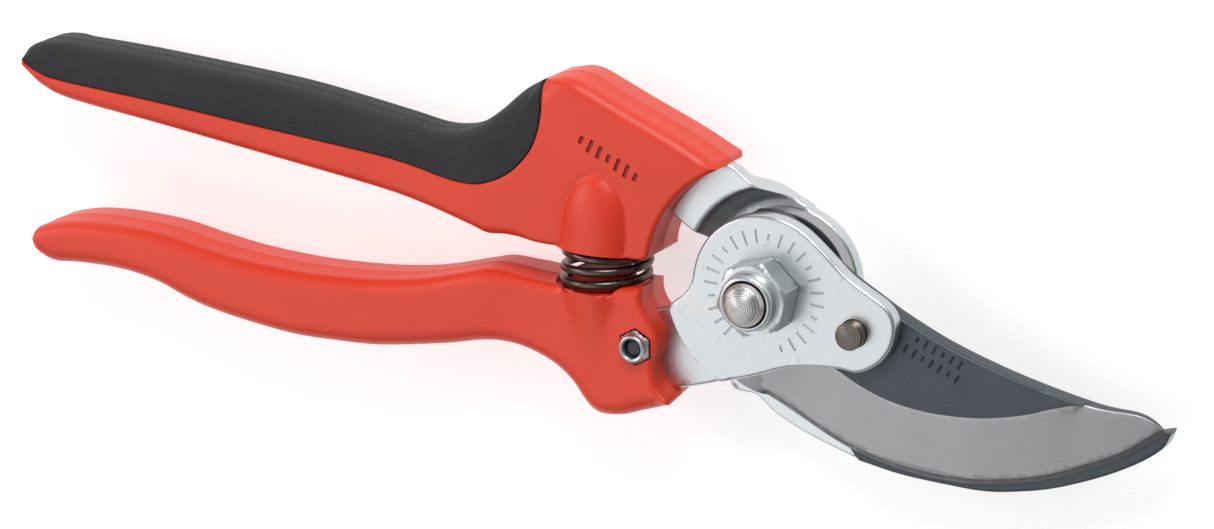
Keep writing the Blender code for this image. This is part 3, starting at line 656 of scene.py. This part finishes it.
def lower_shell():
    outline, rim = loop((LOWER_TOP[:3], 1.4), (LOWER_TOP[3:30], 1.5), (LOWER_TOP[30:], 2.4),
                        (LOWER_FOOT[:120], 3.4), (LOWER_FOOT[120:], 3.2),
                        (LOWER_FRONT, 1.1))

    def top(x, y, fall):
        face = FACE - fall
        # A cone under the spring and a shallow waist beside it.
        depth = np.clip(-y - 7.0, 0, None)
        r = 9.0 - 0.17 * depth
        cone = np.sqrt(np.clip(r ** 2 - (x - SPRING[0] - 0.12 * depth) ** 2, 0, None))
        face = soft_max(face, CUT + cone * step(depth, -1, 0.5), 0.5)
        return face - 0.5 * np.exp(-(((x + 47) / 7) ** 2 + ((y + 15) / 7) ** 2))

    pocket = np.array([(SCREW[0] + hexagon(a, 6.1, 0.1) * math.cos(a),
                        SCREW[1] + hexagon(a, 6.1, 0.1) * math.sin(a))
                       for a in np.linspace(0, 2 * math.pi, 73)[:-1]])
    bm = relief(outline, rim, top, lambda x, y, fall: BACK + fall, holes=[pocket],
                fine=[(-46, -26, -18, -6, 0.8)], parting=0.07)
    # The front wall leans back towards the rear face.
    at = np.array([v.co[:2] for v in bm.verts])
    close = 1 - step(nearest(at, LOWER_FRONT, closed=False)[0], 0.5, 6.0)
    for v, share in zip(bm.verts, close):
        lean = max(0.0, FACE - 1.0 - v.co.z) * share
        v.co.x -= 0.13 * lean
        v.co.y -= 0.09 * lean * float(step(v.co.y, -14.0, -8.0))
    shell = finish("lower_shell", bm, [RED], "lower", ["lower_handle"], 30)
    seat = lathe([(-0.8, 5.9), (-0.8, 8.75), (6.0, 9.1), (6.0, 5.9)], 72,
                 at=(0, 0, 0), axis="Y")
    tilt = Matrix.Translation((SPRING[0] - 0.2, -6.9, CUT)) @ Matrix.Rotation(
        math.radians(8), 4, "Z")
    bmesh.ops.transform(seat, matrix=tilt, verts=seat.verts)
    cut(shell, seat)
    floor = lathe([(BACK + 0.4, 1.7), (BACK + 0.4, 3.6), (CUT + 4.7, 3.6), (CUT + 4.7, 1.7)], 48,
                  at=(*SCREW, 0))
    inner = finish("nut_pocket_floor", floor, [RED], "lower", ())
    # The post inside the spring's last coils.
    post = lathe([(-3.0, 0), (-3.0, 5.9), (1.6, 5.7), (2.0, 5.3), (2.0, 0)], 64, axis="Y")
    bmesh.ops.transform(post, matrix=tilt, verts=post.verts)
    return shell, inner, finish("spring_post", post, [RED], "lower", ())


# ---------------------------------------------------------------- plates and blades

def smooth_fold(x, y, start, end):
    return step(np.hypot(x, y), start, end)


FRONT_LEFT = smooth([(-14.0, -1.0), (-14.6, -2.6), (-15.7, -4.2), (-17.0, -5.4), (-18.3, -7.0),
                     (-20.4, -8.6), (-24.3, -10.4), (-33.0, -14.2)])
FRONT_FOOT = smooth([(-22.0, -24.8), (-17.6, -23.6), (-10.0, -20.6), (-7.2, -18.6),
                     (-0.3, -15.6), (5.2, -12.9), (10.0, -11.5), (15.2, -10.6), (18.6, -10.5),
                     (21.2, -9.2), (23.4, -7.0), (24.8, -4.0), (25.0, -0.8), (24.2, 1.4),
                     (22.2, 3.1), (18.6, 4.7), (15.1, 6.4), (11.3, 9.2), (8.6, 11.1)], 0.6)
PLATE_FRONT = loop((arc(14.0, 54, 182), 0.75), (FRONT_LEFT, 0.5),
                   ([(-36.0, -18.5), (-33.5, -22.6), (-28.0, -24.8)], 0.4), (FRONT_FOOT, 0.75))

REAR_TOP = smooth([(2.4, 13.6), (-0.6, 14.7), (-3.6, 15.8), (-6.2, 17.0), (-8.6, 18.4),
                   (-11.2, 19.7), (-18.0, 20.2), (-26.0, 21.3), (-33.0, 20.6)])
REAR_FOOT_EDGE = smooth([(-36.0, 17.0), (-33.0, 13.6), (-26.0, 10.6), (-19.0, 7.2),
                         (-16.6, 5.9), (-15.2, 4.4), (-14.2, 2.2)])
REAR_ARM = smooth([(-12.9, -5.0), (-12.7, -9.0), (-11.0, -14.5), (-9.5, -19.0), (-9.0, -22.4),
                   (-7.4, -23.0), (-3.9, -23.0), (0.4, -25.6), (7.3, -28.0), (16.5, -30.1)])
REAR_END = smooth([(18.6, -29.0), (19.6, -25.5), (18.5, -19.5), (16.6, -13.0), (14.4, -7.5)])
PLATE_REAR = loop((REAR_TOP, 0.5), (REAR_FOOT_EDGE, 0.5), (arc(HUB_R, 178, 201), 0.5),
                  (REAR_ARM, 0.5), (REAR_END, 0.5), (arc(HUB_R, -22, 78), 0.6))


def front_plate():
    outline, rim = PLATE_FRONT

    def lowered(x, y, start, end):
        return (FRONT_Z - TANG_Z) * smooth_fold(x, y, start, end) * step(-x, 5.5, 8.5) * (y < 0)

    # Plain dashes in a ring stand where the plate would be stamped.
    marks = []
    for k, angle in enumerate(range(-65, 240, 13)):
        a = math.radians(angle)
        marks.append(bar((10.2 * math.cos(a), 10.2 * math.sin(a)), angle,
                         2.5 if k % 4 else 1.2, 0.42, 0.1))
    rings = [arc(r, 186, 256) for r in (17.6, 19.0, 19.7, 20.4, 21.2)]
    bm = relief(outline, rim,
                lambda x, y, fall: FRONT_Z + PLATE_T - fall - lowered(x, y, 19.0, 21.2),
                lambda x, y, fall: FRONT_Z + fall * 0.6 - lowered(x, y, 17.0, 20.2),
                holes=[arc(BORE_R, 0, 360)[:-1], arc(2.62, 0, 360, PIN, 0.4)[:-1]],
                creases=[r[inside(r, outline)] for r in rings], marks=marks, grid=1.1)
    return finish("front_plate", bm, [ZINC, ZINC_MARK], "lower", ["blade_plate"], 34)


def rear_plate():
    outline, rim = PLATE_REAR

    def raised(x, y, start, end):
        return (TANG_Z - REAR_Z) * smooth_fold(x, y, start, end) * (x < 2) * (y > 0)

    bm = relief(outline, rim,
                lambda x, y, fall: REAR_Z + PLATE_T - fall + raised(x, y, 14.2, 18.2),
                lambda x, y, fall: REAR_Z + fall + raised(x, y, 16.2, 20.2),
                holes=[arc(BORE_R, 0, 360)[:-1]], grid=1.1,
                fine=[(-20, 2, 3, 20, 0.7)])
    return finish("rear_plate", bm, [ZINC_REAR], "upper", ["counter_plate"], 34)


EDGE = smooth([(0.0, -20.8), (4.0, -22.2), (9.0, -24.2), (13.5, -25.9), (18.7, -27.3),
               (26.0, -28.3), (34.2, -28.3), (42.2, -27.2), (52.5, -24.0), (60.0, -20.2),
               (67.0, -15.9), (73.7, -10.0)])
SPINE = smooth([(73.7, -10.0), (72.0, -8.6), (68.6, -7.5), (61.0, -7.6), (47.3, -5.9),
                (34.7, -3.2), (25.2, 0.0), (19.6, 2.5), (13.7, 5.3), (8.6, 8.7), (4.0, 11.6),
                (-1.0, 13.4), (-5.2, 12.8)])
HEEL_EDGE = smooth([(-8.2, -10.6), (-7.0, -14.5), (-6.2, -17.5), (-5.6, -19.0), (-3.0, -20.1),
                    (0.0, -20.8)])
BEVEL_LINE = smooth([(5.5, -9.0), (9.5, -10.2), (14.0, -11.9), (18.6, -13.7), (24.2, -15.1),
                     (31.3, -15.5), (39.3, -14.6), (44.5, -13.3), (49.6, -11.5), (53.6, -9.6),
                     (57.4, -8.0), (59.3, -7.55)])


def blade():
    outline, rim = loop((EDGE, 0.03), (SPINE[:14], 0.3), (SPINE[14:], 0.55),
                        (arc(HUB_R, 112, 232), 0.4), (HEEL_EDGE, 0.05))
    micro = offset(EDGE, MICRO_W)
    micro = micro[inside(micro, outline)]
    bevel = BEVEL_LINE[inside(BEVEL_LINE, outline)]

    def depths(x, y):
        p = np.stack([x, y], 1)
        return (nearest(p, EDGE, closed=False)[0], nearest(p, bevel, closed=False)[0],
                above(p))

    def above(p):
        """True on the flat side of the bevel's line."""
        edge = nearest(p, EDGE, closed=False)[0]
        line = np.vstack([bevel, [(75, -6), (75, 30), (-30, 30), (-30, -14.0), (-5.5, -14.0)]])
        return inside(p, line) & (edge > 4)

    def top(x, y, fall):
        edge, away, flat = depths(x, y)
        up = edge - MICRO_W
        share = np.clip(up / (up + away + 1e-6), 0, 1)
        tip = step(x, 54, 59)
        share = share * (1 - tip) + np.clip(up / 11.9, 0, 1) * tip
        ground = 0.95 + (3.5 - 0.95) * share
        ground = np.where(edge < MICRO_W, 0.06 + 0.89 * edge / MICRO_W, ground)
        height = np.where(flat | (away < 0.02), 3.5, ground)
        return CUT + 0.1 + np.maximum(height - fall, 0.04)

    def zone(x, y):
        edge, _, flat = depths(x, y)
        kind = np.where(flat, 0, np.where(edge < 1.12, 2, 1))
        return np.where((kind == 1) & (x < -0.5 - (y + 20.8) * 0.12), 3, kind)

    # Two rows of plain bars are stamped in the flat.
    along = np.array([math.cos(math.radians(-18)), math.sin(math.radians(-18))])
    marks = [bar(np.array(start) + along * 1.75 * k, 66, 1.7 if (k + row) % 3 else 1.1, 0.5, 0.1)
             for row, (start, count) in enumerate((((28.2, -2.9), 6), ((26.2, -5.0), 7)))
             for k in range(count)]
    bm = relief(outline, rim, top, lambda x, y, fall: CUT + 0.1 + 0 * x, zone=zone, marks=marks,
                holes=[arc(BORE_R, 0, 360)[:-1]], creases=[micro, bevel], grid=1.3,
                fine=[(-6, -24, 75, -5, 1.0)])
    return finish("blade", bm, [OXIDE, BEVEL, MICRO, HEEL, OXIDE_MARK], "lower", ["cutting_blade"],
                  50)


def hook_blade():
    outer = smooth([(-0.5, -13.8), (3.0, -16.2), (7.0, -19.8), (11.0, -22.9), (14.4, -25.2),
                    (18.3, -28.9)])
    back = smooth([(18.3, -28.9), (26.0, -29.5), (34.2, -29.3), (42.3, -28.7), (49.1, -27.0),
                   (55.2, -24.8), (62.7, -21.0), (68.5, -17.3), (72.2, -14.2), (73.7, -12.2),
                   (74.3, -9.8)])
    inner = smooth([(74.3, -9.8), (72.6, -10.4), (68.0, -12.6), (60.0, -15.8), (52.0, -18.6),
                    (44.0, -20.4), (36.0, -21.2), (28.0, -20.8), (21.0, -18.4), (16.4, -13.5),
                    (13.4, -7.0)])
    outline, rim = loop((outer, 0.3), (back, 0.5), (inner, 0.15), (arc(HOOK_HUB_R, -20, 268), 0.35))
    bm = relief(outline, rim, lambda x, y, fall: CUT - 0.1 - fall,
                lambda x, y, fall: CUT - 3.6 + fall, grid=1.6)
    bm.normal_update()
    bm.faces.ensure_lookup_table()
    for face in bm.faces:
        centre = face.calc_center_median()
        hub = math.hypot(centre.x, centre.y) < HUB_R
        ground = centre.x > 50 and centre.y < -11
        if abs(face.normal.z) < 0.6 and (hub or ground):
            face.material_index = 1
    return finish("hook_blade", bm, [HOOK, HUB], "upper", ["counter_blade"], 34)


# ---------------------------------------------------------------- fasteners

def nut_shape(flats, turn, chamfer_z, foot_z=None):
    """Radius of a hexagon whose corners are turned down by a 30 degree chamfer."""
    def shape(a, z, r):
        limit = flats / 2 + max(0.0, chamfer_z - z) * 1.75
        if foot_z is not None:
            limit = min(limit, flats / 2 * 1.07 + (z - foot_z) * 1.75)
        return min(hexagon(a, flats, turn), limit) if r > 90 else r
    return shape


def lock_nut(name, at, foot, height, flats, collar, bore, turn, replaced, seg=144):
    top_hex = foot + height * 0.66
    rows = [(foot, bore), (foot, 99.0), (foot + height * 0.04, 99.0)]
    rows += [(foot + height * k, 99.0) for k in (0.2, 0.42, 0.48, 0.52, 0.56, 0.60, 0.63)]
    rows += [(top_hex, 99.0), (top_hex + 0.1, collar + 0.35), (top_hex + 0.5, collar + 0.06),
             (top_hex + 0.9, collar)]
    rim = 0.16 * height * 0.6
    top = foot + height
    for k in range(7):
        a = math.pi / 2 * k / 6
        rows.append((top - rim + rim * math.sin(a), collar - rim + rim * math.cos(a)))
    lip = bore + 0.12
    rows += [(top - 0.02, lip + 0.35), (top - 0.2, lip + 0.08), (top - 0.5, lip),
             (foot + height * 0.7, lip)]
    bm = lathe(rows, seg, nut_shape(flats, turn, top_hex + 0.02, foot), at=(*at, 0))
    return finish(name, bm, [BRIGHT], "upper" if name == "pivot_lock_nut" else "lower", replaced,
                  24)


def pivot_parts():
    foot = FRONT_Z + PLATE_T + 0.15
    lock_nut("pivot_lock_nut", (0, 0), foot, 8.0, 12.3, 5.1, 4.05, math.radians(-8.5),
             ["pivot_nut", "pivot_nut_insert"])
    top = foot + 8.0 + 2.5
    rows = [(0.0, 0), (0.0, 6.1), (0.5, 99.0), (1.0, 99.0), (4.0, 99.0), (4.45, 99.0),
            (4.45, BOLT_R), (top - 2.2, BOLT_R), (top - 1.8, 3.82), (top - 1.2, 3.45),
            (top - 0.75, 2.9), (top - 0.4, 2.3), (top - 0.16, 1.5), (top - 0.03, 0.7), (top, 0)]
    bm = lathe(rows, 96, nut_shape(13.0, 0.0, 5.2, -0.2))
    bolt = finish("bolt", bm, [BOLT], "upper", ["pivot_bolt"], 30)
    notch = bmesh.new()
    bmesh.ops.create_cube(notch, size=1.0)
    place = (Matrix.Rotation(math.radians(-112), 4, "Z") @ Matrix.Translation((3.75, 0, top - 1.2))
             @ Matrix.Diagonal((1.1, 2.8, 1.9, 1)))
    bmesh.ops.transform(notch, matrix=place, verts=notch.verts)
    cut(bolt, notch)


def small_fasteners():
    lock_nut("small_lock_nut", SCREW, CUT + 4.9, 4.0, 5.5, 2.5, 1.6, math.radians(6),
             ["handle_nut", "handle_nut_insert"], 96)
    top = CUT + 7.9
    head = BACK - 0.15
    rows = [(head - 1.8, 0), (head - 1.8, 2.0), (head - 1.6, 2.6), (head - 1.2, 3.0),
            (head - 0.7, 3.1), (head, 3.1), (head, 1.5), (top - 0.3, 1.5), (top, 1.1), (top, 0)]
    # The screw takes the near-black painted shade of the nut's bore.
    screw = finish("screw", lathe(rows, 64, at=(*SCREW, 0)), [BORE_SHADE], "lower",
                   ["handle_screw"], 30)
    pin_top = FRONT_Z + PLATE_T + 2.6
    rows = [(CUT + 0.4, 0), (CUT + 0.4, PIN_R), (pin_top - 2.5, PIN_R)]
    for k in range(4):
        z = pin_top - 2.4 + 0.42 * k
        rows += [(z, PIN_R), (z + 0.12, 2.36), (z + 0.28, 2.36), (z + 0.38, PIN_R)]
    rows += [(pin_top - 0.35, PIN_R), (pin_top - 0.1, 2.38), (pin_top, 2.15), (pin_top, 0)]
    finish("dowel", lathe(rows, 72, at=(*PIN, 0)), [PIN_STEEL], "lower", ["blade_pin"],
           30)
    return screw


def spring():
    """A compression spring whose lower coils lean with the lower handle's seat."""
    radius, wire, turns, sides = 7.6, 0.8, 5.9, 14
    count = int(turns * 56)
    bm = bmesh.new()
    path = []
    for i in range(count + 1):
        t = i / count
        a = 2 * math.pi * (turns * t) + 4.87
        y = 7.3 - 14.4 * t
        lean = math.radians(6.5) * float(step(-y, 0.0, 4.2))
        u = radius * math.cos(a)
        path.append(Vector((SPRING[0] + u * math.cos(lean), y + u * math.sin(lean),
                            CUT + radius * math.sin(a))))
    rings = []
    for i, p in enumerate(path):
        along = (path[min(i + 1, count)] - path[max(i - 1, 0)]).normalized()
        out = Vector((p.x - SPRING[0], 0, p.z - CUT)).normalized()
        out = (out - along * out.dot(along)).normalized()
        other = along.cross(out)
        rings.append([bm.verts.new(p + (out * math.cos(2 * math.pi * k / sides)
                                        + other * math.sin(2 * math.pi * k / sides)) * wire)
                      for k in range(sides)])
    for a, b in zip(rings, rings[1:]):
        for k in range(sides):
            m = (k + 1) % sides
            bm.faces.new([a[k], a[m], b[m], b[k]])
    bm.faces.new(rings[-1])
    bm.faces.new(rings[0][::-1])
    bmesh.ops.recalc_face_normals(bm, faces=bm.faces)
    bmesh.ops.scale(bm, vec=(MM, MM, MM), verts=bm.verts)
    mesh = bpy.data.meshes.new("coil_spring")
    bm.to_mesh(mesh)
    bm.free()
    mesh.shade_smooth()
    obj = bpy.data.objects.new("coil_spring", mesh)
    bpy.context.scene.collection.objects.link(obj)
    mesh.materials.append(BRONZE)
    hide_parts("return_spring")
    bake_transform(obj)
    return obj


def repaint(name, mat):
    """Gives a CAD node that stays in view a finished material."""
    slots = nodes[name].material_slots
    for slot in slots:
        slot.material = mat


# ---------------------------------------------------------------- studio

def area_light(name, place, aim, size, power, colour=(1, 1, 1)):
    data = bpy.data.lights.new(name, "AREA")
    data.shape = "RECTANGLE"
    data.size, data.size_y = size
    data.energy = power
    data.color = colour
    lamp = bpy.data.objects.new(name, data)
    lamp.location = place
    lamp.rotation_euler = (Vector(aim) - Vector(place)).to_track_quat("-Z", "Y").to_euler()
    bpy.context.scene.collection.objects.link(lamp)


def studio():
    bm = bmesh.new()
    bmesh.ops.create_grid(bm, x_segments=1, y_segments=1, size=3.0)
    mesh = bpy.data.meshes.new("floor")
    bm.to_mesh(mesh)
    bm.free()
    floor = bpy.data.objects.new("floor", mesh)
    floor.location.z = -0.0004
    bpy.context.scene.collection.objects.link(floor)
    paint = plain("floor_paint", (0.62, 0.62, 0.62), 0.7)
    glow = paint.node_tree.nodes["Principled BSDF"]
    glow.inputs["Emission Color"].default_value = (1, 1, 1, 1)
    glow.inputs["Emission Strength"].default_value = 0.62
    mesh.materials.append(paint)
    bpy.context.scene.view_settings.view_transform = "Standard"
    world = bpy.data.worlds.new("studio")
    bpy.context.scene.world = world
    world.use_nodes = True
    world.node_tree.nodes["Background"].inputs[0].default_value = (0.93, 0.96, 1.0, 1)
    world.node_tree.nodes["Background"].inputs[1].default_value = 0.30
    centre = (-0.03, 0.0, 0.0)
    area_light("key", (-0.50, -0.40, 1.05), centre, (1.2, 1.2), 5.0)
    area_light("top", (0.10, 1.00, 0.70), centre, (0.5, 0.5), 9.0)
    area_light("left", (-1.2, 0.25, 0.8), centre, (0.6, 0.6), 4.5)
    data = bpy.data.cameras.new("camera")
    data.sensor_width = 36.0
    data.lens = 135.22
    camera = bpy.data.objects.new("camera", data)
    right = Vector((0.88927, 0.08563, -0.44929))
    up = Vector((-0.21500, 0.94528, -0.24540))
    toward = Vector((0.40369, 0.31483, 0.85902))
    axes = Matrix((right, up, toward)).transposed().to_4x4()
    camera.matrix_world = Matrix.Translation((0.29525, 0.25241, 0.71153)) @ axes
    bpy.context.scene.collection.objects.link(camera)
    bpy.context.scene.camera = camera


upper_shell()
grip()
lower_shell()
front_plate()
rear_plate()
blade()
hook_blade()
pivot_parts()
small_fasteners()
spring()
repaint("counter_pin", PIN_STEEL)
studio()
